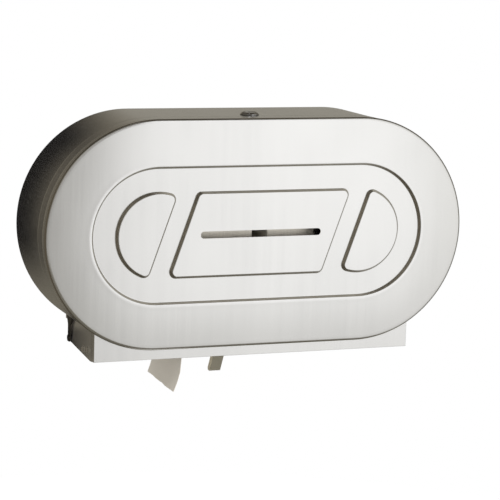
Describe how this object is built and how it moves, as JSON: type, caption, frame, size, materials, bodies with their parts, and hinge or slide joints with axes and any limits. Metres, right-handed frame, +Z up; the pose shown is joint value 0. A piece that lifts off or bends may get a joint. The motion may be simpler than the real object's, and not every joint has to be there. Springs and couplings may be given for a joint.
{
  "type": "toilet roll dispenser",
  "caption": "Wall dispenser for two jumbo tissue rolls: drawn steel cover on a hinge, open-bottomed chute with a sliding panel, roll spindles and a cam lock.",
  "frame": {"origin": "on the wall plane, at the centre of the four wall holes and of the cover's obround outline", "axes": "+X to the right along the wall, +Y into the wall, +Z up; the face looks along -Y"},
  "size_m": [0.528, 0.136, 0.3322],
  "materials": {
    "satin_steel": "satin, fine upright grain",
    "plain_steel": "mill",
    "bright_steel": "polished",
    "zinc_steel": "zinc plated",
    "black_plastic": "moulded",
    "black_rubber": "moulded",
    "white_nylon": "moulded",
    "tissue": "soft, embossed",
    "card": "spiral wound"
  },
  "bodies": {
    "root": {"back_plate": "plain_steel", "chute_side_left": "satin_steel", "chute_side_right": "satin_steel", "chute_apron": "satin_steel", "front_rail": "plain_steel", "rear_rail": "plain_steel", "stop_blocks": "black_rubber", "stop_rivets": "satin_steel", "chute_rivets": "zinc_steel", "keeper_bracket": "plain_steel", "keeper_rivets": "zinc_steel", "spindle_base_left": "black_plastic", "spindle_base_right": "black_plastic", "spindle_screws": "zinc_steel", "spindle_post_left": "bright_steel", "spindle_post_right": "bright_steel", "spindle_caps": "black_plastic", "hinge_pins": "bright_steel", "hinge_washers": "white_nylon", "hinge_clips": "bright_steel", "tissue_tail": "tissue"},
    "cover_body": {"cover": "satin_steel", "hinge_arm_left": "plain_steel", "hinge_arm_right": "plain_steel", "lock_housing": "bright_steel", "lock_nut": "zinc_steel"},
    "lock_body": {"lock_plug": "bright_steel", "lock_cam": "zinc_steel", "cam_screw": "zinc_steel"},
    "roll_left": {"core_hub_left": "black_plastic", "hub_disc_left": "black_plastic", "core_tube_left": "card", "tissue_roll_left": "tissue"},
    "roll_right": {"core_hub_right": "black_plastic", "hub_disc_right": "black_plastic", "core_tube_right": "card", "tissue_roll_right": "tissue"},
    "panel": {"access_panel": "satin_steel", "tear_strips": "plain_steel", "pull_tab": "plain_steel", "tab_rivets": "zinc_steel"}
  },
  "joints": [
    {"name": "cover_hinge", "type": "hinge", "parent": "root", "child": "cover_body", "pos_m": [0, -0.025, -0.14], "axis": [1, 0, 0], "range_deg": [0, 95]},
    {"name": "lock_turn", "type": "hinge", "parent": "cover_body", "child": "lock_body", "pos_m": [0, -0.085, 0.136], "axis": [0, 0, -1], "range_deg": [0, 90]},
    {"name": "roll_left_spin", "type": "hinge", "parent": "root", "child": "roll_left", "pos_m": [-0.118, 0, 0], "axis": [0, 1, 0], "continuous": true},
    {"name": "roll_right_spin", "type": "hinge", "parent": "root", "child": "roll_right", "pos_m": [0.118, 0, 0], "axis": [0, 1, 0], "continuous": true},
    {"name": "panel_slide", "type": "slide", "parent": "root", "child": "panel", "axis": [-1, 0, 0], "range_m": [0, 0.11], "deforming": ["tissue_tail"]}
  ]
}
